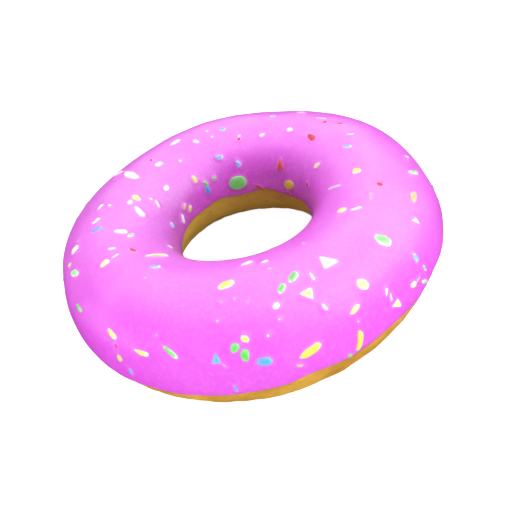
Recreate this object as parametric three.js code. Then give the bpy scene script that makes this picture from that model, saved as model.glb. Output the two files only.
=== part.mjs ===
// A ring doughnut with a coat of icing over its upper half.
// Millimetres, +Z up. The origin is at the middle of the hole, on the surface the doughnut rests on.
// The two pieces are rings swept round +Z. Each one's section changes slowly on the way round, because
// the dough is cut and fried by hand and the icing settles as it sets.

import * as THREE from 'three';

// Driving dimensions, in millimetres.
const ringRadius = 30.8;        // from the middle of the hole to the middle of the dough's section
const doughRadius = 13.7;       // of the dough's section, where it is bare
const coveredRadius = 12.9;     // of the dough's section, under the icing
const icingRadius = 14.2;       // of the section out to the icing's face
const restDepth = 13.0;         // the middle of the section stands this far above the flat underside
const touchGap = 0.3;           // between the dough and the icing's inner face
const beadHeight = 0.18;        // the icing's rim is this much fuller than the rest of its face
const ovalGrowth = 0.25;        // the ring is this much wider along X, and narrower along Y

// Driving angles round the section, in degrees: 0 faces outwards, 90 up and 180 into the hole.
const outerEdge = -1.5;         // where the icing ends outside
const innerEdge = 181;          // where it ends inside the hole
const slant = 3;                // the ring was dipped aslant: on one side the icing ends this much higher,
const slantBearing = -50;       // which is at this bearing from +X, and as much lower on the other side
const edgeWave = 1.1;           // the edge runs this far up and down
const coverRun = 20;            // the dough draws in over this stretch, from the icing's edge upwards
const beadRun = 14;             // the fuller rim fades out over this stretch
const lipRun = 5;               // the rim is rounded over this stretch

// How finely the rings are divided.
const ringSteps = 72;
const doughSteps = 30;
const icingSteps = 16;

const degrees = Math.PI / 180;

function smooth(share) {
  const clamped = THREE.MathUtils.clamp(share, 0, 1);
  return clamped * clamped * (3 - 2 * clamped);
}

// The ring's radius and the fatness of its section, at an angle round the hole.
function ringAt(around) {
  return {
    radius: ringRadius + ovalGrowth * Math.cos(2 * around),
    fatness: 1 + 0.008 * Math.cos(2 * around + 2.2) + 0.005 * Math.cos(4 * around + 0.7),
  };
}

// The angles round the section at which the icing ends.
function icingEdges(around) {
  const outerWave = 0.6 * Math.sin(5 * around + 0.4) + 0.4 * Math.sin(9 * around + 2.1);
  const innerWave = 0.7 * Math.sin(4 * around + 1.7) + 0.3 * Math.sin(7 * around);
  const lean = slant * Math.cos(around - slantBearing * degrees);
  // The hole is nearer to the middle than the outside is, so the same slant lifts the edge less there.
  const leanInHole = (lean * (ringRadius - icingRadius)) / (ringRadius + icingRadius);
  return {
    outer: outerEdge + lean + edgeWave * outerWave,
    inner: innerEdge - leanInHole - edgeWave * innerWave,
  };
}

// How far a place on the section lies inside the icing's edge, in degrees; negative outside it.
function depthUnderIcing(angle, edges) {
  return Math.min(angle - edges.outer, edges.inner - angle);
}

function doughRadiusAt(angle, edges) {
  const covered = smooth(depthUnderIcing(angle, edges) / coverRun);
  return THREE.MathUtils.lerp(doughRadius, coveredRadius, covered);
}

function icingRadiusAt(angle, edges) {
  const depth = depthUnderIcing(angle, edges);
  const inner = doughRadiusAt(angle, edges) + touchGap;
  const outer = icingRadius + beadHeight * (1 - smooth(depth / beadRun));
  const fromLip = 1 - THREE.MathUtils.clamp(depth / lipRun, 0, 1);
  const rounding = Math.sqrt(1 - fromLip * fromLip);
  const lipMiddle = (inner + outer) / 2;
  return {
    inner: THREE.MathUtils.lerp(lipMiddle, inner, rounding),
    outer: THREE.MathUtils.lerp(lipMiddle, outer, rounding),
  };
}

// A point of the section as [distance from the hole's axis, height above the underside].
function sectionPoint(ring, radius, angle) {
  const reach = radius * ring.fatness;
  const across = ring.radius + reach * Math.cos(angle * degrees);
  const up = restDepth + reach * Math.sin(angle * degrees);
  return [across, Math.max(up, 0)];
}

// The dough's section, once round, with its underside pressed flat at height 0.
function doughSection(around) {
  const ring = ringAt(around);
  const edges = icingEdges(around);
  const points = [];
  for (let i = 0; i < doughSteps; i += 1) {
    const angle = -90 + (360 * i) / doughSteps;
    points.push(sectionPoint(ring, doughRadiusAt(angle, edges), angle));
  }
  return points;
}

// The icing's section: over its face from the outer edge to the inner one, and back beneath.
function icingSection(around) {
  const ring = ringAt(around);
  const edges = icingEdges(around);
  const face = [];
  const underneath = [];
  for (let i = 0; i <= icingSteps; i += 1) {
    // The steps are closer together at both ends, where the rim is rounded.
    const share = (1 - Math.cos((Math.PI * i) / icingSteps)) / 2;
    const angle = THREE.MathUtils.lerp(edges.outer, edges.inner, share);
    const radii = icingRadiusAt(angle, edges);
    face.push(sectionPoint(ring, radii.outer, angle));
    underneath.push(sectionPoint(ring, radii.inner, angle));
  }
  const back = underneath.slice(1, -1).reverse();
  return [...face, ...back];
}

// A closed ring through a section that is worked out afresh at each step round the hole.
function sweptRing(sectionAt) {
  const positions = [];
  const faces = [];
  const count = sectionAt(0).length;
  for (let step = 0; step < ringSteps; step += 1) {
    const around = (2 * Math.PI * step) / ringSteps;
    for (const [across, up] of sectionAt(around)) {
      positions.push(across * Math.cos(around), across * Math.sin(around), up);
    }
  }
  for (let step = 0; step < ringSteps; step += 1) {
    const here = step * count;
    const next = ((step + 1) % ringSteps) * count;
    for (let i = 0; i < count; i += 1) {
      const j = (i + 1) % count;
      faces.push(here + i, next + i, next + j);
      faces.push(here + i, next + j, here + j);
    }
  }
  const geometry = new THREE.BufferGeometry();
  geometry.setAttribute('position', new THREE.Float32BufferAttribute(positions, 3));
  geometry.setIndex(faces);
  geometry.computeVertexNormals();
  return geometry;
}

// Yeast dough, fried golden brown.
function makeDough() {
  const crust = new THREE.MeshStandardMaterial({ color: 0xc8862f, roughness: 0.7, metalness: 0 });
  const dough = new THREE.Mesh(sweptRing(doughSection), crust);
  dough.name = 'dough';
  return dough;
}

// Sugar icing that the doughnut was dipped in up to its middle, set to a soft gloss.
function makeIcing() {
  const sugar = new THREE.MeshStandardMaterial({ color: 0xf06af0, roughness: 0.35, metalness: 0 });
  const icing = new THREE.Mesh(sweptRing(icingSection), sugar);
  icing.name = 'icing';
  return icing;
}

const doughnut = new THREE.Group();
doughnut.add(makeDough(), makeIcing());

export default doughnut;
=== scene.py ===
import bpy
import math
import random
from mathutils import Matrix, Vector


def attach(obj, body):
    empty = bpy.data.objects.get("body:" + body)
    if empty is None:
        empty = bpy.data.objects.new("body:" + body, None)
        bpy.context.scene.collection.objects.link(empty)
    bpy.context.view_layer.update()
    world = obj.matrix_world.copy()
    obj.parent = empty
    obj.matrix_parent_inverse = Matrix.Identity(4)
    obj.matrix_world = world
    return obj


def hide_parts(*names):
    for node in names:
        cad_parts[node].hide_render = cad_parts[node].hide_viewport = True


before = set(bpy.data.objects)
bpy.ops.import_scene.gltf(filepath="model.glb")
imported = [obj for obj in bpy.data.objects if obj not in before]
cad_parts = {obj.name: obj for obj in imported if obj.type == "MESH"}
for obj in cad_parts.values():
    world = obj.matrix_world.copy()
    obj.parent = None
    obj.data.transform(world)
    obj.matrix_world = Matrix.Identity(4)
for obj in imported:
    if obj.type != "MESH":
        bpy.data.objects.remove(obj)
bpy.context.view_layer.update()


# The studio. The doughnut lies on a plain white light table under a pale sky. Soft lamps hang above
# it, behind it and on its right, and low strips stand round it. The camera is a hand's breadth away
# and leans to one side, so that the ring stands aslant in its square frame of 512 points.
view_height = math.radians(42.5)
view_lean = math.radians(15.9)
view_angle = math.radians(59.8)
view_distance = 0.1038
looked_at = Vector((0.0007, -0.0103, 0.0130))
frame_side = 512
lit_place = Vector((0, 0, 0.015))
lamp_distance = 0.6
table_side = 6

scene = bpy.context.scene
scene.view_settings.view_transform = "Standard"
scene.view_settings.look = "None"

camera_data = bpy.data.cameras.new("camera")
camera_data.sensor_width = 36.0
camera_data.lens = camera_data.sensor_width / 2 / math.tan(view_angle / 2)
camera_data.clip_start = 0.002
camera_data.clip_end = 50.0
camera = bpy.data.objects.new("camera", camera_data)
scene.collection.objects.link(camera)
to_camera = Vector((0, -math.cos(view_height), math.sin(view_height)))
camera_place = looked_at + view_distance * to_camera
camera_turn = to_camera.to_track_quat("Z", "Y").to_matrix().to_4x4() @ Matrix.Rotation(-view_lean, 4, "Z")
camera.matrix_world = Matrix.Translation(camera_place) @ camera_turn
scene.camera = camera


def soft_lamp(name, bearing, height, width, depth, watts, gloss=True):
    """A flat lamp that faces the doughnut, from a bearing off +X and a height, both in degrees.

    One without gloss lights the surfaces but isn't mirrored in them.
    """
    lamp_data = bpy.data.lights.new(name, "AREA")
    lamp_data.shape = "RECTANGLE"
    lamp_data.size = width
    lamp_data.size_y = depth
    lamp_data.energy = watts
    lamp = bpy.data.objects.new(name, lamp_data)
    lamp.visible_glossy = gloss
    scene.collection.objects.link(lamp)
    flat, up = math.cos(math.radians(height)), math.sin(math.radians(height))
    away = Vector((flat * math.cos(math.radians(bearing)), flat * math.sin(math.radians(bearing)), up))
    lamp.matrix_world = (
        Matrix.Translation(lit_place + lamp_distance * away)
        @ away.to_track_quat("Z", "Y").to_matrix().to_4x4()
    )


soft_lamp("top_lamp", 0, 90, 0.60, 0.60, 1.7)
soft_lamp("right_lamp", 0, 30, 0.45, 0.45, 1.05)
soft_lamp("front_right_lamp", 315, 40, 0.45, 0.45, 1.2)
soft_lamp("back_right_lamp", 45, 40, 0.45, 0.45, 1.05)
soft_lamp("back_lamp", 90, 40, 0.45, 0.45, 0.8)
soft_lamp("back_left_lamp", 135, 40, 0.45, 0.45, 0.5)
soft_lamp("back_strip", 135, 12, 0.50, 0.20, 0.4, gloss=False)
soft_lamp("right_strip", 10, 7, 0.45, 0.14, 0.9, gloss=False)
soft_lamp("front_strip", 270, 7, 0.45, 0.14, 2.2, gloss=False)
soft_lamp("left_strip", 180, 7, 0.45, 0.14, 2.2, gloss=False)


def white_to_camera(tree, socket, lit, shown):
    """Makes a backdrop glow one amount on the doughnut and another, whiter amount in the picture."""
    rays = tree.nodes.new("ShaderNodeLightPath")
    glow = tree.nodes.new("ShaderNodeMapRange")
    glow.inputs["To Min"].default_value = lit
    glow.inputs["To Max"].default_value = shown
    tree.links.new(rays.outputs["Is Camera Ray"], glow.inputs["Value"])
    tree.links.new(glow.outputs["Result"], socket)


sky = bpy.data.worlds.new("studio_sky")
scene.world = sky
sky.use_nodes = True
sky_light = sky.node_tree.nodes["Background"]
sky_light.inputs["Color"].default_value = (1.0, 1.0, 1.0, 1.0)
white_to_camera(sky.node_tree, sky_light.inputs["Strength"], lit=0.02, shown=1.0)

bpy.ops.object.select_all(action="DESELECT")
bpy.ops.mesh.primitive_plane_add(size=table_side, location=(0, 0, 0))
light_table = bpy.context.object
light_table.name = "light_table"
light_table.visible_glossy = False
table_glass = bpy.data.materials.new("white_glass")
table_glass.use_nodes = True
table_finish = table_glass.node_tree.nodes["Principled BSDF"]
table_finish.inputs["Base Color"].default_value = (0.68, 0.68, 0.68, 1)
table_finish.inputs["Roughness"].default_value = 0.7
table_finish.inputs["Specular IOR Level"].default_value = 0.2
table_finish.inputs["Emission Color"].default_value = (1, 1, 1, 1)
white_to_camera(table_glass.node_tree, table_finish.inputs["Emission Strength"], lit=0.0, shown=0.95)
light_table.data.materials.append(table_glass)


# The dough. A ring of yeast dough, cut out, proved and fried on one side and then on the other. Its
# crust is uneven, blistered and golden brown, flat where the ring rests, and paler in the hole, partly
# as less fried crust and partly as painted light against the shade there. Under the icing the ring is
# drawn in, to leave room for the coat.
ring_radius = 0.0308
ring_steps = 256
middle_height = 0.0130
bare_radius = 0.0137
covered_draw = 0.0008
oval = 0.25 / 30.8
outer_edge_height = 0.0131
inner_edge_height = 0.0134
slant_height = 0.0007
slant_bearing = math.radians(-50)
cover_rise = 0.0045


def ease(share):
    """Goes smoothly from 0 to 1 as share does."""
    clamped = min(max(share, 0.0), 1.0)
    return clamped * clamped * (3 - 2 * clamped)


def beyond_ring(point):
    """Whether a point lies outside the middle line of the ring, and so not on the hole's side."""
    return math.hypot(point.x, point.y) > ring_radius


def edge_height(point):
    """How high the icing ends at a point's bearing. It ends on a slant, as the ring was dipped."""
    level_edge = outer_edge_height if beyond_ring(point) else inner_edge_height
    out = point.x * math.cos(slant_bearing) + point.y * math.sin(slant_bearing)
    return level_edge + slant_height * (out / (ring_radius + bare_radius))


def edit(piece):
    """Opens a piece alone in edit mode, to work on its points."""
    bpy.ops.object.select_all(action="DESELECT")
    piece.select_set(True)
    bpy.context.view_layer.objects.active = piece
    bpy.ops.object.mode_set(mode="EDIT")
    bpy.ops.mesh.select_mode(type="VERT")


def select_where(piece, wanted):
    """Selects the points of a piece for which a test holds, and leaves it in edit mode."""
    edit(piece)
    bpy.ops.mesh.select_all(action="DESELECT")
    bpy.ops.object.mode_set(mode="OBJECT")
    for vertex in piece.data.vertices:
        vertex.select = wanted(vertex.co)
    bpy.ops.object.mode_set(mode="EDIT")


def smooth_once(piece):
    """Divides every face in four and rounds the shape."""
    finer = piece.modifiers.new("finer", "SUBSURF")
    finer.levels = finer.render_levels = 1
    bpy.context.view_layer.objects.active = piece
    bpy.ops.object.modifier_apply(modifier="finer")


def add_ring(name, section_radius, section_steps):
    """A slightly oval ring with the given radius and steps to its section, made twice as fine."""
    bpy.ops.object.select_all(action="DESELECT")
    bpy.ops.mesh.primitive_torus_add(
        major_radius=ring_radius, minor_radius=section_radius,
        major_segments=ring_steps, minor_segments=section_steps,
        location=(0, 0, middle_height))
    ring = bpy.context.object
    ring.name = ring.data.name = name
    bpy.ops.object.transform_apply(location=True, rotation=True, scale=True)
    edit(ring)
    bpy.ops.mesh.select_all(action="SELECT")
    bpy.ops.transform.resize(value=(1 + oval, 1 - oval, 1), center_override=(0, 0, 0))
    bpy.ops.object.mode_set(mode="OBJECT")
    smooth_once(ring)
    return ring


def push(piece, name, height, kind=None, grain=0.01, detail=0, group="", direction="NORMAL", middle=0.5):
    """Moves the surface of a piece in or out, by a texture or evenly, and makes that its shape."""
    mover = piece.modifiers.new(name, "DISPLACE")
    mover.strength = height
    mover.mid_level = middle
    mover.direction = direction
    mover.vertex_group = group
    if kind:
        texture = bpy.data.textures.new(name, kind)
        texture.noise_scale = grain
        if kind == "CLOUDS":
            texture.noise_depth = detail
        mover.texture = texture
        mover.texture_coords = "LOCAL"
    bpy.context.view_layer.objects.active = piece
    bpy.ops.object.modifier_apply(modifier=name)


def weigh(piece, name, weight_of):
    """A vertex group whose weights come from a function of the place."""
    group = piece.vertex_groups.new(name=name)
    for vertex in piece.data.vertices:
        weight = weight_of(vertex.co)
        if weight > 0:
            group.add([vertex.index], weight, "REPLACE")


def settle(piece):
    """The slow unevenness of the whole doughnut, which the dough and its icing share."""
    push(piece, "lumps", height=0.0008, kind="CLOUDS", grain=0.022)


def share_covered(point):
    """How far a point of the dough lies under the icing, from 0 at the icing's edge to 1 well above."""
    return ease((point.z - edge_height(point)) / cover_rise)


dough = add_ring("dough_ring", bare_radius, section_steps=75)
settle(dough)
weigh(dough, "covered", share_covered)
push(dough, "draw_in", height=-covered_draw, group="covered", middle=0.0)
push(dough, "wrinkles", height=0.0003, kind="CLOUDS", grain=0.0045, detail=2)
push(dough, "blisters", height=-0.00025, kind="VORONOI", grain=0.0035, middle=0.4)
select_where(dough, lambda point: point.z < 0)
bpy.ops.transform.resize(value=(1, 1, 0), center_override=(0, 0, 0))
bpy.ops.object.mode_set(mode="OBJECT")
bpy.ops.object.shade_smooth()
dough.vertex_groups.clear()


def new_material(name):
    """A material, its nodes, its links and its Principled shader."""
    material = bpy.data.materials.new(name)
    material.use_nodes = True
    tree = material.node_tree
    return material, tree.nodes, tree.links, tree.nodes["Principled BSDF"]


def add_noise(nodes, links, place, scale, detail, roughness=0.5):
    """A cloudy pattern on the piece's own place, with so many grains to the metre, more or less fine."""
    noise = nodes.new("ShaderNodeTexNoise")
    noise.inputs["Scale"].default_value = scale
    noise.inputs["Detail"].default_value = detail
    noise.inputs["Roughness"].default_value = roughness
    links.new(place.outputs["Object"], noise.inputs["Vector"])
    return noise


def add_ramp(nodes, links, source, stops):
    """Turns a value into a colour, by its stops: the value and the colour of each."""
    ramp = nodes.new("ShaderNodeValToRGB")
    colours = ramp.color_ramp
    while len(colours.elements) < len(stops):
        colours.elements.new(1.0)
    for element, (value, colour) in zip(colours.elements, stops):
        element.position = value
        element.color = (*colour, 1)
    links.new(source, ramp.inputs["Fac"])
    return ramp.outputs["Color"]


def add_range(nodes, links, source, low, high, to_low, to_high):
    """Carries a value from the range low to high over to the range to_low to to_high, held at its ends."""
    carry = nodes.new("ShaderNodeMapRange")
    for name, value in (("From Min", low), ("From Max", high), ("To Min", to_low), ("To Max", to_high)):
        carry.inputs[name].default_value = value
    links.new(source, carry.inputs["Value"])
    return carry.outputs["Result"]


def add_mix(nodes, links, share, first, second):
    """Mixes a share of a second colour, given as a colour or as an output, into a first."""
    mix = nodes.new("ShaderNodeMix")
    mix.data_type = "RGBA"
    share_input, first_input, second_input = mix.inputs[0], mix.inputs[6], mix.inputs[7]
    links.new(share, share_input)
    links.new(first, first_input)
    if isinstance(second, bpy.types.NodeSocket):
        links.new(second, second_input)
    else:
        second_input.default_value = (*second, 1)
    return mix.outputs[2]


def add_distance_from_axis(nodes, links, parts):
    """How far a place lies from the middle of the hole, from the three parts of the place."""
    level_place = nodes.new("ShaderNodeCombineXYZ")
    for axis in ("X", "Y"):
        links.new(parts.outputs[axis], level_place.inputs[axis])
    distance = nodes.new("ShaderNodeVectorMath")
    distance.operation = "LENGTH"
    links.new(level_place.outputs["Vector"], distance.inputs[0])
    return distance.outputs["Value"]


def add_relief(nodes, links, height, depth, strength, under=None):
    """A bump of a given depth in metres, laid over another bump if there is one."""
    relief = nodes.new("ShaderNodeBump")
    relief.inputs["Strength"].default_value = strength
    relief.inputs["Distance"].default_value = depth
    links.new(height, relief.inputs["Height"])
    if under:
        links.new(under, relief.inputs["Normal"])
    return relief.outputs["Normal"]


crust_browns = ((0.34, (0.51, 0.245, 0.028)), (0.50, (0.64, 0.340, 0.038)), (0.66, (0.74, 0.430, 0.052)))
low_brown = (0.46, 0.215, 0.021)
# The gold in the hole is partly less fried crust and partly painted light against the shade there.
paler_crust_and_painted_light = (0.80, 0.60, 0.075)
speck_brown = (0.34, 0.12, 0.014)

crust, nodes, links, shader = new_material("fried_crust")
place = nodes.new("ShaderNodeTexCoord")
parts = nodes.new("ShaderNodeSeparateXYZ")
links.new(place.outputs["Object"], parts.inputs["Vector"])
browning = add_noise(nodes, links, place, 110, 6, 0.6)
crust_colour = add_ramp(nodes, links, browning.outputs["Fac"], crust_browns)
# It is browner near the table and paler in the hole, partly as less fried crust and partly as painted light
# against the shade there, with fine dark specks all over.
share_low = add_range(nodes, links, parts.outputs["Z"], 0.001, 0.008, 0.35, 0.0)
crust_colour = add_mix(nodes, links, share_low, crust_colour, low_brown)
from_axis = add_distance_from_axis(nodes, links, parts)
share_in_hole = add_range(nodes, links, from_axis, 0.019, 0.026, 0.68, 0.0)
crust_colour = add_mix(nodes, links, share_in_hole, crust_colour, paler_crust_and_painted_light)
specks = add_noise(nodes, links, place, 900, 3)
speck_share = add_range(nodes, links, specks.outputs["Fac"], 0.60, 0.74, 0.0, 0.45)
crust_colour = add_mix(nodes, links, speck_share, crust_colour, speck_brown)
links.new(crust_colour, shader.inputs["Base Color"])
oily_gloss = add_range(nodes, links, browning.outputs["Fac"], 0.3, 0.7, 0.42, 0.62)
links.new(oily_gloss, shader.inputs["Roughness"])
shader.inputs["Specular IOR Level"].default_value = 0.35
shader.inputs["Subsurface Weight"].default_value = 0.05
shader.inputs["Subsurface Radius"].default_value = (1.0, 0.6, 0.2)
shader.inputs["Subsurface Scale"].default_value = 0.0012
pores = nodes.new("ShaderNodeTexVoronoi")
pores.inputs["Scale"].default_value = 750
links.new(place.outputs["Object"], pores.inputs["Vector"])
pore_relief = add_relief(nodes, links, pores.outputs["Distance"], depth=0.00025, strength=0.35)
grain = add_noise(nodes, links, place, 1800, 4)
grain_relief = add_relief(nodes, links, grain.outputs["Fac"], depth=0.0002, strength=0.4, under=pore_relief)
links.new(grain_relief, shader.inputs["Normal"])
dough.data.materials.append(crust)
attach(dough, "root")
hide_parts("dough")


# The icing. Bright pink sugar icing, in which the doughnut was dipped upside down to its middle. It
# set as a coat over a millimetre thick, cloudy and softly glossy, with a full round rim that stands
# proud of the crust and wanders up and down. Its colour holds painted shade: deeper at its rim and in
# the hole, darker and greyer with painted sheen on the hole's slope towards -X, deeper on one outer side.
icing_radius = 0.0142
underside_radius = 0.0124
rim_rise = 0.0040
rim_rounding = 0.0006
rim_steps = 4
underside_steps = 8
underside_end = math.radians(84)
top_of_cut = middle_height + 0.006

icing = add_ring("icing_coat", icing_radius, section_steps=118)
reach = ring_radius + bare_radius
slope = Vector((math.cos(slant_bearing), math.sin(slant_bearing), 0)) * (slant_height / reach)
for outside in (True, False):
    select_where(icing, lambda point: beyond_ring(point) == outside and point.z < top_of_cut)
    bpy.ops.mesh.select_mode(type="FACE")
    edge = outer_edge_height if outside else inner_edge_height
    bpy.ops.mesh.bisect(plane_co=(0, 0, edge), plane_no=Vector((0, 0, 1)) - slope, clear_inner=True)
    bpy.ops.object.mode_set(mode="OBJECT")


def share_of_rim(point):
    """How much a point of the icing belongs to its rim, from 1 at the edge to 0 well above it."""
    return ease(1 - (point.z - edge_height(point)) / rim_rise)


weigh(icing, "rim", share_of_rim)
push(icing, "uneven_rim", height=0.0014, kind="CLOUDS", grain=0.008, group="rim", direction="Z")
push(icing, "full_rim", height=0.0002, group="rim", middle=0.0)
settle(icing)
push(icing, "flow", height=0.0003, kind="CLOUDS", grain=0.009)


def select_open_edges(piece):
    """Selects all open edges of a piece, and leaves it in edit mode."""
    edit(piece)
    bpy.ops.mesh.select_all(action="DESELECT")
    bpy.ops.mesh.select_non_manifold(
        use_wire=False, use_boundary=True, use_multi_face=False, use_non_contiguous=False, use_verts=False)


def select_open_edge(piece, outside):
    """Selects a coat's open edge, outside or in the hole, and leaves the piece in edit mode."""
    select_open_edges(piece)
    bpy.ops.object.mode_set(mode="OBJECT")
    for vertex in piece.data.vertices:
        vertex.select = vertex.select and beyond_ring(vertex.co) == outside
    for edge in piece.data.edges:
        edge.select = all(piece.data.vertices[index].select for index in edge.vertices)
    for face in piece.data.polygons:
        face.select = False
    bpy.ops.object.mode_set(mode="EDIT")


def rim_and_underside(outside):
    """The section of the coat from its rim round beneath it, as (away from the ring's middle, up)."""
    edge = (outer_edge_height if outside else inner_edge_height) - middle_height
    start = math.sqrt(icing_radius ** 2 - edge ** 2)
    yield start, edge
    for step in range(1, rim_steps + 1):
        turn = math.pi / 2 * step / rim_steps
        yield start - rim_rounding * (1 - math.cos(turn)), edge - rim_rounding * math.sin(turn)
    first = math.asin((edge - rim_rounding) / underside_radius)
    for step in range(underside_steps):
        turn = first + (underside_end - first) * step / (underside_steps - 1)
        yield underside_radius * math.cos(turn), underside_radius * math.sin(turn)


for outside in (True, False):
    select_open_edge(icing, outside)
    side = 1 if outside else -1
    points = list(rim_and_underside(outside))
    for (away, up), (next_away, next_up) in zip(points, points[1:]):
        bpy.ops.mesh.extrude_region_move(TRANSFORM_OT_translate={"value": (0, 0, next_up - up)})
        grow = (ring_radius + side * next_away) / (ring_radius + side * away)
        bpy.ops.transform.resize(value=(grow, grow, 1), center_override=(0, 0, 0))
    bpy.ops.object.mode_set(mode="OBJECT")
select_open_edges(icing)
bpy.ops.mesh.bridge_edge_loops()
bpy.ops.mesh.select_all(action="SELECT")
bpy.ops.mesh.normals_make_consistent(inside=False)
bpy.ops.object.mode_set(mode="OBJECT")
bpy.ops.object.shade_smooth()
icing.vertex_groups.clear()

icing_pinks = ((0.34, (0.86, 0.108, 0.86)), (0.52, (0.89, 0.132, 0.89)), (0.68, (0.91, 0.165, 0.91)))
# Painted shade: the rim, hole, slope and side pinks stand in for shade, and the slope pink for sheen as well.
painted_shade_rim_pink = (0.86, 0.070, 0.87)
painted_shade_hole_pink = (0.66, 0.050, 0.68)
painted_shade_sheen_pink = (0.65, 0.130, 0.66)
painted_shade_side_pink = (0.84, 0.052, 0.86)
painted_shade_side = (-0.82, -0.57, 0)
mottle_pink = (0.90, 0.22, 0.90)
sugary_pink = (0.92, 0.50, 0.94)

sugar, nodes, links, shader = new_material("pink_icing")
place = nodes.new("ShaderNodeTexCoord")
parts = nodes.new("ShaderNodeSeparateXYZ")
links.new(place.outputs["Object"], parts.inputs["Vector"])
clouds = add_noise(nodes, links, place, 70, 5, 0.55)
icing_colour = add_ramp(nodes, links, clouds.outputs["Fac"], icing_pinks)
# Painted shade: it is deeper pink towards the rim and darker in the hole.
painted_shade_at_rim = add_range(nodes, links, parts.outputs["Z"], 0.0135, 0.0225, 0.85, 0.0)
icing_colour = add_mix(nodes, links, painted_shade_at_rim, icing_colour, painted_shade_rim_pink)
from_axis = add_distance_from_axis(nodes, links, parts)
# Painted shade: darker in the hole.
share_in_hole = add_range(nodes, links, from_axis, 0.0175, 0.0225, 0.45, 0.0)
icing_colour = add_mix(nodes, links, share_in_hole, icing_colour, painted_shade_hole_pink)
# Painted shade and sheen: it is darker and greyer on the slope of the hole towards -X.
share_on_slope = add_range(nodes, links, from_axis, 0.020, 0.027, 0.88, 0.0)
share_to_left = add_range(nodes, links, parts.outputs["X"], -0.016, -0.008, 1.0, 0.0)
painted_shade_sheen_share = nodes.new("ShaderNodeMath")
painted_shade_sheen_share.operation = "MULTIPLY"
links.new(share_on_slope, painted_shade_sheen_share.inputs[0])
links.new(share_to_left, painted_shade_sheen_share.inputs[1])
icing_colour = add_mix(nodes, links, painted_shade_sheen_share.outputs["Value"], icing_colour, painted_shade_sheen_pink)
# Painted shade: it is deeper pink on one outer side.
reach_to_side = nodes.new("ShaderNodeVectorMath")
reach_to_side.operation = "DOT_PRODUCT"
reach_to_side.inputs[1].default_value = painted_shade_side
links.new(place.outputs["Object"], reach_to_side.inputs[0])
painted_shade_side_share = add_range(nodes, links, reach_to_side.outputs["Value"], 0.0375, 0.0435, 0.0, 0.85)
icing_colour = add_mix(nodes, links, painted_shade_side_share, icing_colour, painted_shade_side_pink)
# Coarse mottling and small dabs lie over all of it, and a pale ring round each sprinkle.
mottle = add_noise(nodes, links, place, 420, 4)
mottle_share = add_range(nodes, links, mottle.outputs["Fac"], 0.52, 0.78, 0.0, 0.20)
icing_colour = add_mix(nodes, links, mottle_share, icing_colour, mottle_pink)
dabs = add_noise(nodes, links, place, 1150, 2, 0.6)
dab_share = add_range(nodes, links, dabs.outputs["Fac"], 0.48, 0.68, 0.0, 0.44)
icing_colour = add_mix(nodes, links, dab_share, icing_colour, mottle_pink)
bed = nodes.new("ShaderNodeAttribute")
bed.attribute_name = "bed"
bed_share = add_range(nodes, links, bed.outputs["Fac"], 0.2, 1.0, 0.0, 0.22)
icing_colour = add_mix(nodes, links, bed_share, icing_colour, sugary_pink)
links.new(icing_colour, shader.inputs["Base Color"])
uneven_gloss = add_range(nodes, links, mottle.outputs["Fac"], 0.3, 0.7, 0.38, 0.50)
links.new(uneven_gloss, shader.inputs["Roughness"])
shader.inputs["Coat Weight"].default_value = 1.0
shader.inputs["Coat Roughness"].default_value = 0.42
shader.inputs["Coat IOR"].default_value = 1.72
shader.inputs["Specular IOR Level"].default_value = 0.8
shader.inputs["Subsurface Weight"].default_value = 0.10
shader.inputs["Subsurface Radius"].default_value = (1.0, 0.4, 1.0)
shader.inputs["Subsurface Scale"].default_value = 0.0008
ripples = add_noise(nodes, links, place, 300, 3)
ripple_relief = add_relief(nodes, links, ripples.outputs["Fac"], depth=0.0005, strength=0.12)
crystals = add_noise(nodes, links, place, 2600, 3)
crystal_relief = add_relief(
    nodes, links, crystals.outputs["Fac"], depth=0.00012, strength=0.30, under=ripple_relief)
links.new(crystal_relief, shader.inputs["Normal"])
icing.data.materials.append(sugar)
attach(icing, "root")
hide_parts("icing")


# The sprinkles. Small pieces of coloured sugar paste, pressed through a die and broken up: strands,
# chips, three-cornered crumbs, beads and flat rounds. They were shaken over the doughnut while the
# icing was wet, so each has sunk in by almost half. Many are paler round their edges.
sunk_share = 0.42
pale_edge_from = 0.45
pale_edge_width = 0.5
short_strand_up_to = 2.0
long_strand_from = 3.1
strand_end_share = 0.55
strand_unevenness = 0.05
flat_unevenness = 0.17
worn_edge_share = 0.32
shape_thickness = {"strand": 0.88, "bent": 0.88, "chip": 0.50, "corner": 0.42, "bead": 0.80, "round": 0.28}
thickest_sprinkle = 0.0011
slimmest_sprinkle = 0.0004
widest_sprinkle = 0.0045
longest_sprinkle = 0.0058
scatter = random.Random(12)


def finish_model(name):
    """Makes a model one unit long, wide and high, and gives its points their pale edges."""
    model = bpy.context.object
    model.name = model.data.name = name
    bpy.ops.object.transform_apply(location=True, rotation=True, scale=True)
    size = model.dimensions.copy()
    edit(model)
    bpy.ops.mesh.select_all(action="SELECT")
    bpy.ops.mesh.normals_make_consistent(inside=False)
    middle = sum((Vector(corner) for corner in model.bound_box), Vector()) / 8
    bpy.ops.transform.translate(value=-middle)
    bpy.ops.transform.resize(value=(1 / size.x, 1 / size.y, 1 / size.z), center_override=(0, 0, 0))
    bpy.ops.object.mode_set(mode="OBJECT")
    bpy.ops.object.shade_smooth()
    pale = model.data.attributes.new("pale", "FLOAT", "POINT")
    model.data.attributes.new("tone", "FLOAT", "POINT")
    for vertex, value in zip(model.data.vertices, pale.data):
        along, across = abs(vertex.co.x) * 2, abs(vertex.co.y) * 2
        value.value = ease((max(along, across) - pale_edge_from) / pale_edge_width)
    return model


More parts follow.
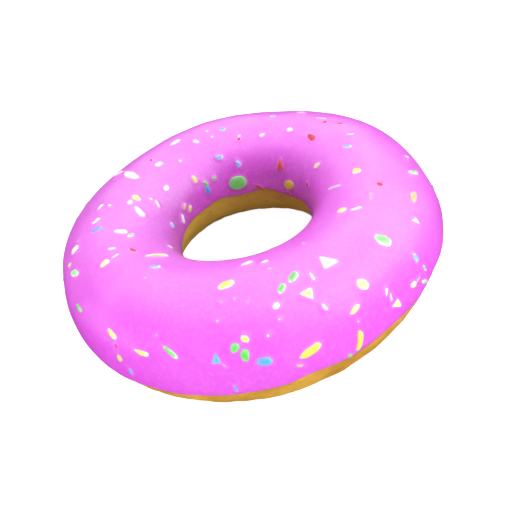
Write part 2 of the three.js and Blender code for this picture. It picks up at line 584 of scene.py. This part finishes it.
def add_strand(name, ratio, taper, bend, seed):
    """A strand so many times as long as it is wide, slimmer at one end and bent by so many degrees."""
    bpy.ops.object.select_all(action="DESELECT")
    bpy.ops.mesh.primitive_uv_sphere_add(segments=8, ring_count=10, radius=0.5, rotation=(0, math.pi / 2, 0))
    strand = bpy.context.object
    bpy.ops.object.transform_apply(location=True, rotation=True, scale=True)
    drawn = 1 + (ratio - 1) * strand_end_share
    for side in (-1, 1):
        select_where(strand, lambda point: point.x * side > 0.01)
        bpy.ops.transform.resize(value=(drawn, 1, 1), center_override=(0, 0, 0))
        bpy.ops.transform.translate(value=(side * (ratio - drawn) / 2, 0, 0))
        bpy.ops.object.mode_set(mode="OBJECT")
    edit(strand)
    bpy.ops.mesh.select_all(action="SELECT")
    bpy.ops.transform.vertex_random(offset=strand_unevenness, uniform=0.0, normal=0.0, seed=seed)
    bpy.ops.object.mode_set(mode="OBJECT")
    for method, axis, amount in (("TAPER", "X", taper), ("BEND", "Z", math.radians(bend))):
        shaper = strand.modifiers.new(method, "SIMPLE_DEFORM")
        shaper.deform_method = method
        shaper.deform_axis = axis
        shaper.factor = amount
        bpy.ops.object.modifier_apply(modifier=method)
    return finish_model(name)


def add_slab(name, sides, height, seed):
    """A flat piece with so many sides, its edges worn round, uneven unless its seed is 0."""
    bpy.ops.object.select_all(action="DESELECT")
    bpy.ops.mesh.primitive_cylinder_add(vertices=sides, radius=0.5, depth=height)
    slab = bpy.context.object
    edit(slab)
    bpy.ops.mesh.select_all(action="SELECT")
    if seed:
        bpy.ops.transform.vertex_random(offset=flat_unevenness, uniform=0.0, normal=0.0, seed=seed)
    bpy.ops.mesh.bevel(offset=height * worn_edge_share, offset_type="OFFSET", segments=2, affect="EDGES")
    # The two flat faces get a point in their middle, to carry the colour there.
    bpy.ops.mesh.select_all(action="DESELECT")
    bpy.ops.mesh.select_mode(type="FACE")
    bpy.ops.object.mode_set(mode="OBJECT")
    for face in slab.data.polygons:
        face.select = len(face.vertices) == sides and abs(face.normal.z) > 0.9
    bpy.ops.object.mode_set(mode="EDIT")
    bpy.ops.mesh.poke()
    bpy.ops.object.mode_set(mode="OBJECT")
    return finish_model(name)


def add_bead(name):
    """A small round ball."""
    bpy.ops.object.select_all(action="DESELECT")
    bpy.ops.mesh.primitive_ico_sphere_add(subdivisions=2, radius=0.5)
    return finish_model(name)


# Each shape is modelled once or a few times, and what is laid are copies.
models = {
    "short": [add_strand(f"short_strand_{seed}", 1.6, taper=0.35, bend=0, seed=seed) for seed in (1, 2)],
    "strand": [add_strand(f"strand_{seed}", 2.5, taper=0.45, bend=14, seed=seed) for seed in (3, 4, 5)],
    "long": [add_strand(f"long_strand_{seed}", 3.8, taper=0.40, bend=-20, seed=seed) for seed in (6, 7)],
    "bent": [add_strand("bent_strand", 3.4, taper=0.30, bend=55, seed=8)],
    "chip": [add_slab(f"chip_{seed}", 5 + seed % 3, height=0.5, seed=seed) for seed in (1, 2, 3, 4)],
    "corner": [add_slab("corner", 3, height=0.45, seed=5)],
    "bead": [add_bead("bead")],
    "round": [add_slab("round", 12, height=0.3, seed=0)],
}

laid = []


def away_from_ring(point):
    """The way out of the icing at a point on it."""
    middle = Vector((point.x, point.y, 0)).normalized() * ring_radius + Vector((0, 0, middle_height))
    return (point - middle).normalized()


def thickness_of(shape, width):
    """How thick a sprinkle of a shape and a width is."""
    return min(width * shape_thickness[shape], thickest_sprinkle)


def lay(colour, shape, place, along, length, width, pale_middle, pale_edge):
    """Lays a copy of the model that fits best into the icing, and gives it its own tone."""
    kind = shape
    if shape == "strand" and length / width <= short_strand_up_to:
        kind = "short"
    elif shape == "strand" and length / width >= long_strand_from:
        kind = "long"
    model = models[kind][scatter.randrange(len(models[kind]))]
    sprinkle = model.copy()
    sprinkle.data = model.data.copy()
    scene.collection.objects.link(sprinkle)
    outward = away_from_ring(place)
    along = (along - along.dot(outward) * outward).normalized()
    across = outward.cross(along)
    thickness = thickness_of(shape, width)
    turn = Matrix((along, across, outward)).transposed().to_4x4()
    sprinkle.matrix_world = (
        Matrix.Translation(place + (0.5 - sunk_share) * thickness * outward)
        @ turn @ Matrix.Diagonal((length, width, thickness, 1))
    )
    tone = scatter.random()
    for pale, own in zip(sprinkle.data.attributes["pale"].data, sprinkle.data.attributes["tone"].data):
        pale.value = pale_middle + (pale_edge - pale_middle) * pale.value
        own.value = tone
    laid.append((colour, place, sprinkle))


ring_in_frame = Vector((252, 225))
frame_distance = frame_side / 2 / math.tan(view_angle / 2)
inward_step = 0.01
most_inward = 0.12
flattest_reach = 0.25
flattest_sink = 0.35
probe_height = 0.004


def view_ray(x, y):
    """The direction in which the camera sees a point of its frame, counted from the upper left."""
    in_camera = Vector((x - frame_side / 2, frame_side / 2 - y, -frame_distance))
    return (camera_turn.to_3x3() @ in_camera).normalized()


def lay_seen(colour, shape, x, y, length, width, lean, pale_middle, pale_edge):
    """Lays a sprinkle where the camera sees it, with its length and width in points of the frame.

    One that would lie just off the doughnut's outline moves inward until it is on the icing.
    """
    inward = 0.0
    hit = False
    while not hit and inward < most_inward:
        point = Vector((x, y)).lerp(ring_in_frame, inward)
        ray = view_ray(*point)
        hit, place, _, _ = icing.ray_cast(camera_place, ray)
        inward += inward_step
    if not hit:
        return
    outward = away_from_ring(place)
    reach = Vector((math.cos(math.radians(lean)), -math.sin(math.radians(lean)))) * length / 2
    ends = []
    for end in (point - reach, point + reach):
        ray_to_end = view_ray(*end)
        facing = min(ray_to_end.dot(outward), -flattest_reach)
        ends.append(camera_place + ray_to_end * ((place - camera_place).dot(outward) / facing))
    along = ends[1] - ends[0]
    width_here = width * (place - camera_place).length / frame_distance
    real_width = min(max(width_here, slimmest_sprinkle), widest_sprinkle)
    least = slimmest_sprinkle if shape == "corner" else real_width
    real_length = min(max(along.length, least), max(longest_sprinkle, real_width))
    # It stands proud of the icing, so it lies a little further down than where the eye meets it.
    proud = (1 - sunk_share) / 2 * thickness_of(shape, real_width)
    place += proud * (ray / min(ray.dot(outward), -flattest_sink) - outward)
    outward = away_from_ring(place)
    hit, on_icing, _, _ = icing.ray_cast(place + probe_height * outward, -outward)
    lay(colour, shape, on_icing if hit else place, along, real_length, real_width, pale_middle, pale_edge)


# What the camera sees of them, by colour and by how pale their middles and edges are: the shape, the
# place, the length, the width and the lean of each, in points of the frame and in degrees up to the
# right.
seen = {
    ("white", 0.0, 0.0): [
        ("strand", 175, 142, 11, 5, 27), ("chip", 131.5, 175, 15, 9, -15), ("strand", 100, 207, 8, 3, 50),
        ("strand", 95.5, 221, 10, 3.5, 38), ("strand", 120.5, 231, 14, 6, -5),
        ("strand", 111.5, 248.5, 8, 3.5, 5), ("strand", 170, 247, 9, 3, -45),
        ("strand", 139.5, 211, 14, 7, -50), ("strand", 157.5, 203.5, 9, 3.5, -65),
        ("strand", 334, 187, 13, 3, 20), ("strand", 356, 208.5, 12, 4, 15),
        ("strand", 246.5, 262.8, 13, 5, 20), ("strand", 264, 261.5, 8, 4, 20),
        ("strand", 312, 276.5, 9, 3.5, -55), ("strand", 324.5, 307, 9, 4, -45),
        ("strand", 386.5, 292.5, 9, 3.5, 90), ("strand", 391, 297, 9, 3, -80),
        ("strand", 183.5, 219, 10, 4, -75), ("strand", 301, 112.5, 8, 2, 0),
        ("strand", 321, 118, 10, 2, -8), ("strand", 350, 134, 8, 2.5, 0), ("strand", 118, 174, 14, 2.5, 45),
        ("strand", 224.5, 365.5, 6, 2, -40), ("strand", 115, 256, 8, 2.5, 30),
        ("strand", 407, 157, 5, 3, -50), ("chip", 158.5, 164, 8, 6, 20), ("chip", 166.5, 188, 6, 5, 55),
        ("chip", 130, 202, 6, 5, 60), ("chip", 110, 206, 5, 3.5, -40), ("chip", 78, 240, 5, 3, 50),
        ("chip", 196, 141.5, 6, 4, -15), ("chip", 262, 135, 6, 4, 30), ("chip", 289.5, 129.5, 6, 5, 0),
        ("chip", 276, 305.7, 8, 7, 40), ("corner", 416, 220, 8.5, 6, -26),
        ("corner", 327, 263, 20, 13, 165), ("bead", 151, 199, 3, 3, 0), ("bead", 207, 131, 2.5, 2.5, 0),
        ("bead", 212, 137, 3, 2.5, 0), ("bead", 239, 136, 3, 3, 0), ("bead", 269.5, 268.5, 2.5, 2.5, 0),
        ("bead", 303, 243, 2, 2, 0), ("bead", 358.3, 321.5, 2.5, 2.5, 0),
        ("bead", 279.5, 319.5, 2.5, 2.5, 0), ("bead", 268, 336, 3.5, 3.5, 0), ("bead", 156.5, 335, 2, 2, 0),
        ("bead", 145, 278, 2.5, 2.5, 0), ("bead", 221, 302.5, 2.5, 2.5, 0), ("bead", 247, 302.5, 2, 2, 0),
        ("bead", 217, 321, 2, 2, 0), ("bead", 180, 161, 3, 3, 0), ("bead", 234.7, 298.6, 3, 3, 0),
    ],
    ("yellow", 0.0, 0.3): [
        ("strand", 69.5, 265, 6, 3, 70), ("chip", 119.5, 358, 7, 6, -45), ("bent", 360.5, 341, 20, 7, 83),
        ("strand", 310.5, 351.6, 26, 9, 35),
    ],
    ("yellow", 0.0, 0.0): [
        ("round", 289, 185, 9, 9, 0),
    ],
    ("yellow", 0.0, 1.0): [
        ("chip", 225.6, 284.2, 18, 10, 20), ("chip", 136.5, 198, 10, 7, -25),
        ("strand", 111.5, 334, 13, 5.5, -50), ("strand", 141, 353, 15, 5.5, -22),
        ("chip", 245, 339, 9, 7, -30), ("strand", 194.5, 179, 9, 5, -60), ("strand", 190.5, 209, 7, 4, 80),
        ("chip", 317, 165.3, 7, 5, 35), ("chip", 356.5, 171, 8, 8, 0), ("strand", 341.5, 210, 10, 6, 25),
    ],
    ("yellow", 0.35, 1.0): [
        ("strand", 74, 249.5, 11, 6, 55), ("strand", 104.5, 263, 11, 6, 38),
        ("strand", 157, 255, 24, 5, -2), ("strand", 355, 309.6, 14, 6, 50),
        ("corner", 306.5, 293.5, 11.5, 13, 95), ("chip", 363, 284, 14, 11, -25),
        ("chip", 414, 284.5, 7, 6, 40), ("corner", 397.5, 303, 9, 8, 0),
    ],
    ("green", 0.0, 0.35): [
        ("round", 238, 183, 18, 14, 15), ("chip", 245, 355.5, 12, 9, 90),
        ("strand", 78.5, 308, 9, 4.5, -55), ("strand", 206, 184, 6, 4, -45), ("bead", 214, 179, 4, 4, 0),
        ("chip", 352, 358, 4, 4, 0), ("chip", 234.5, 348, 10, 9, 40),
    ],
    ("green", 0.0, 1.0): [
        ("strand", 293, 276.5, 13, 8, 55), ("strand", 281.5, 288, 11, 7, 65),
        ("strand", 170, 352, 20, 5, -42), ("strand", 425, 268, 6, 3, -65),
    ],
    ("green", 0.2, 1.0): [
        ("chip", 383, 239.5, 19, 12, -25), ("strand", 414, 172, 9, 5, -15), ("chip", 74.5, 273, 7, 7, 0),
        ("chip", 131, 235, 7, 5, 35), ("chip", 425, 281.5, 5, 4, 0),
    ],
    ("blue", 0.0, 0.3): [
        ("corner", 216, 358.5, 9, 11, 0), ("strand", 264.5, 362, 16, 9, 5), ("strand", 208, 190, 9, 5, -70),
        ("strand", 131, 372, 7, 4, -60), ("strand", 236, 389, 7, 3, -60), ("strand", 96, 229.5, 13, 4, 27),
    ],
    ("blue", 0.15, 0.9): [
        ("strand", 173, 225, 6, 5, -60), ("bead", 222.5, 129, 5, 5, 0), ("strand", 219, 157, 8, 5, 0),
        ("strand", 238, 164, 7, 5, -60), ("strand", 416.5, 257.5, 9, 6, -60),
        ("strand", 155, 266.5, 11, 5, -2), ("chip", 272.5, 116, 6, 4, 0), ("strand", 347, 146, 9, 5, 0),
    ],
    ("red", 0.0, 0.1): [
        ("strand", 133, 249.5, 7, 4, -25), ("strand", 311, 136.5, 8, 6, -40),
        ("corner", 280, 164, 6.5, 12, 0), ("strand", 324.5, 122, 5, 3, 10),
        ("strand", 340, 123.7, 8, 2, -12), ("chip", 380, 184, 6, 5, -30), ("bead", 239, 139, 3, 3, 0),
        ("bead", 151, 160, 3, 3, 0), ("strand", 307, 184.5, 5, 3, 90), ("bead", 288, 193, 3, 3, 0),
        ("strand", 259, 187, 11, 3, -25), ("strand", 115.5, 345, 7, 2.5, -60),
    ],
    ("orange", 0.1, 0.6): [
        ("chip", 413.5, 196.5, 10, 8, 90), ("strand", 185, 207, 7, 4, 80),
        ("strand", 370.5, 196, 7, 2.5, 90), ("strand", 300, 365.5, 7, 3.5, 5),
        ("strand", 418.5, 279, 6, 3, 60),
    ],
}
for (colour, pale_middle, pale_edge), sprinkles in seen.items():
    for shape, x, y, length, width, lean in sprinkles:
        lay_seen(colour, shape, x, y, length, width, lean, pale_middle, pale_edge)

# The rest lie scattered just as thickly wherever the camera does not see.
hidden_most = 68
tries = 4000
closest = 0.0036
lowest_turn = 7
seen_slack = 0.0008
proud_point = 0.0004
outside_start = 0.03
narrowest_drawn = 0.0009
widest_drawn = 0.0015
colours_drawn = ("white",) * 8 + ("yellow",) * 4 + ("green",) * 3 + ("blue",) * 3 + ("red",) * 2 + ("orange",)
shapes_drawn = ("strand",) * 8 + ("chip",) * 4 + ("corner", "bent", "bead", "bead")
breadths = {"strand": 1, "bent": 1, "chip": 1.4, "corner": 1.4, "bead": 0.5}
stretches = {
    "strand": (1.5, 3.6), "bent": (3.0, 3.4), "chip": (1.1, 1.5), "corner": (1.1, 1.5), "bead": (1.0, 1.0)}


def in_view(point):
    """Whether the camera sees a point, with nothing of the icing before it."""
    ray = point - camera_place
    hit, met, _, _ = icing.ray_cast(camera_place, ray.normalized())
    return not hit or (met - camera_place).length > ray.length - seen_slack


hidden_laid = 0
for _ in range(tries):
    if hidden_laid == hidden_most:
        break
    bearing = scatter.uniform(0, 2 * math.pi)
    turn = math.radians(scatter.uniform(lowest_turn, 180 - lowest_turn))
    out = Vector((math.cos(bearing), math.sin(bearing), 0))
    core = out * ring_radius + Vector((0, 0, middle_height))
    outward = out * math.cos(turn) + Vector((0, 0, 1)) * math.sin(turn)
    hit, place, _, _ = icing.ray_cast(core + outward * outside_start, -outward)
    too_close = any((place - other).length < closest for _, other, _ in laid)
    # The hole's side has less surface than the outside, so fewer of the places there are taken.
    share_of_surface = (ring_radius + icing_radius * math.cos(turn)) / (ring_radius + icing_radius)
    if scatter.random() > share_of_surface or too_close:
        continue
    if in_view(place) or in_view(place + outward * proud_point):
        continue
    shape = scatter.choice(shapes_drawn)
    width = scatter.uniform(narrowest_drawn, widest_drawn) * breadths[shape]
    length = width * scatter.uniform(*stretches[shape])
    along = Vector((scatter.uniform(-1, 1), scatter.uniform(-1, 1), scatter.uniform(-1, 1)))
    colour = scatter.choice(colours_drawn)
    paleness = scatter.uniform(0, 1)
    lay(colour, shape, place, along, length, width, pale_middle=0.25 * paleness, pale_edge=paleness)
    hidden_laid += 1

for shape_models in models.values():
    for model in shape_models:
        bpy.data.objects.remove(model)


def make_candy_coat():
    """The finish that all the sprinkles share: pale edges, a cloudy tone and a fine sugary grain."""
    group = bpy.data.node_groups.new("candy_coat", "ShaderNodeTree")
    for name in ("Deep Colour", "Bright Colour", "Edge Colour"):
        group.interface.new_socket(name, in_out="INPUT", socket_type="NodeSocketColor")
    group.interface.new_socket("Colour", in_out="OUTPUT", socket_type="NodeSocketColor")
    group.interface.new_socket("Roughness", in_out="OUTPUT", socket_type="NodeSocketFloat")
    group.interface.new_socket("Normal", in_out="OUTPUT", socket_type="NodeSocketVector")
    nodes, links = group.nodes, group.links
    given = nodes.new("NodeGroupInput").outputs
    result = nodes.new("NodeGroupOutput").inputs
    place = nodes.new("ShaderNodeTexCoord")
    tone = nodes.new("ShaderNodeAttribute")
    tone.attribute_name = "tone"
    pale = nodes.new("ShaderNodeAttribute")
    pale.attribute_name = "pale"
    body = add_mix(nodes, links, tone.outputs["Fac"], given["Deep Colour"], given["Bright Colour"])
    cloud = add_noise(nodes, links, place, 1300, 3)
    cloud_share = add_range(nodes, links, cloud.outputs["Fac"], 0.40, 0.75, 0.0, 0.16)
    body = add_mix(nodes, links, cloud_share, body, given["Edge Colour"])
    body = add_mix(nodes, links, pale.outputs["Fac"], body, given["Edge Colour"])
    links.new(body, result["Colour"])
    uneven_gloss = add_range(nodes, links, cloud.outputs["Fac"], 0.3, 0.7, 0.34, 0.55)
    links.new(uneven_gloss, result["Roughness"])
    grain = add_noise(nodes, links, place, 3500, 2)
    grain_relief = add_relief(nodes, links, grain.outputs["Fac"], depth=0.00012, strength=0.5)
    links.new(grain_relief, result["Normal"])
    return group


candy_coat = make_candy_coat()
# The deep, the bright and the edge colour of each kind.
candy_colours = {
    "white": ((0.86, 0.85, 0.82), (0.95, 0.95, 0.94), (0.97, 0.97, 0.97)),
    "yellow": ((0.90, 0.80, 0.03), (0.96, 0.90, 0.06), (0.97, 0.96, 0.84)),
    "green": ((0.07, 0.68, 0.05), (0.11, 0.84, 0.08), (0.88, 0.97, 0.86)),
    "blue": ((0.06, 0.40, 0.92), (0.07, 0.49, 0.96), (0.80, 0.92, 0.97)),
    "red": ((0.62, 0.02, 0.03), (0.80, 0.08, 0.08), (0.92, 0.48, 0.44)),
    "orange": ((0.90, 0.42, 0.16), (0.95, 0.62, 0.32), (0.96, 0.86, 0.70)),
}
all_sprinkles = []
for colour, (deep, bright, edge_colour) in candy_colours.items():
    candy, nodes, links, shader = new_material(f"{colour}_candy")
    coat = nodes.new("ShaderNodeGroup")
    coat.node_tree = candy_coat
    coat.inputs["Deep Colour"].default_value = (*deep, 1)
    coat.inputs["Bright Colour"].default_value = (*bright, 1)
    coat.inputs["Edge Colour"].default_value = (*edge_colour, 1)
    links.new(coat.outputs["Colour"], shader.inputs["Base Color"])
    links.new(coat.outputs["Roughness"], shader.inputs["Roughness"])
    links.new(coat.outputs["Normal"], shader.inputs["Normal"])
    shader.inputs["Subsurface Weight"].default_value = 0.08
    shader.inputs["Subsurface Scale"].default_value = 0.0006
    bpy.ops.object.select_all(action="DESELECT")
    for own_colour, _, sprinkle in laid:
        if own_colour == colour:
            sprinkle.select_set(True)
            bpy.context.view_layer.objects.active = sprinkle
    bpy.ops.object.join()
    sprinkles = bpy.context.object
    sprinkles.name = sprinkles.data.name = f"sprinkles_{colour}"
    bpy.ops.object.transform_apply(location=True, rotation=True, scale=True)
    push(sprinkles, f"worn_{colour}", height=0.00018, kind="CLOUDS", grain=0.0009)
    bpy.ops.object.shade_smooth_by_angle(angle=math.radians(50))
    sprinkles.data.materials.append(candy)
    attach(sprinkles, "root")
    all_sprinkles.append(sprinkles)


# The beds of the sprinkles. Where a sprinkle sank in, the wet icing rose round it in a low collar and
# took up some of its sugar, which left a faint pale ring.
bed_reach = 0.0007
bed_height = 0.00018

nearest = [0.0] * len(icing.data.vertices)
for sprinkles in all_sprinkles:
    weigh(icing, "bed", lambda point: 1.0)
    probe = icing.modifiers.new("bed", "VERTEX_WEIGHT_PROXIMITY")
    probe.vertex_group = "bed"
    probe.target = sprinkles
    probe.proximity_mode = "GEOMETRY"
    probe.proximity_geometry = {"FACE"}
    probe.min_dist = 0.0
    probe.max_dist = bed_reach
    probe.invert_falloff = True
    bpy.context.view_layer.objects.active = icing
    bpy.ops.object.modifier_apply(modifier="bed")
    for vertex in icing.data.vertices:
        nearest[vertex.index] = max(nearest[vertex.index], ease(vertex.groups[0].weight))
    icing.vertex_groups.clear()
bed_group = icing.vertex_groups.new(name="bed")
for index, share in enumerate(nearest):
    if share > 0:
        bed_group.add([index], share, "REPLACE")
push(icing, "raised_beds", height=bed_height, group="bed", middle=0.0)
icing.vertex_groups.clear()
beds = icing.data.attributes.new("bed", "FLOAT", "POINT")
beds.data.foreach_set("value", nearest)
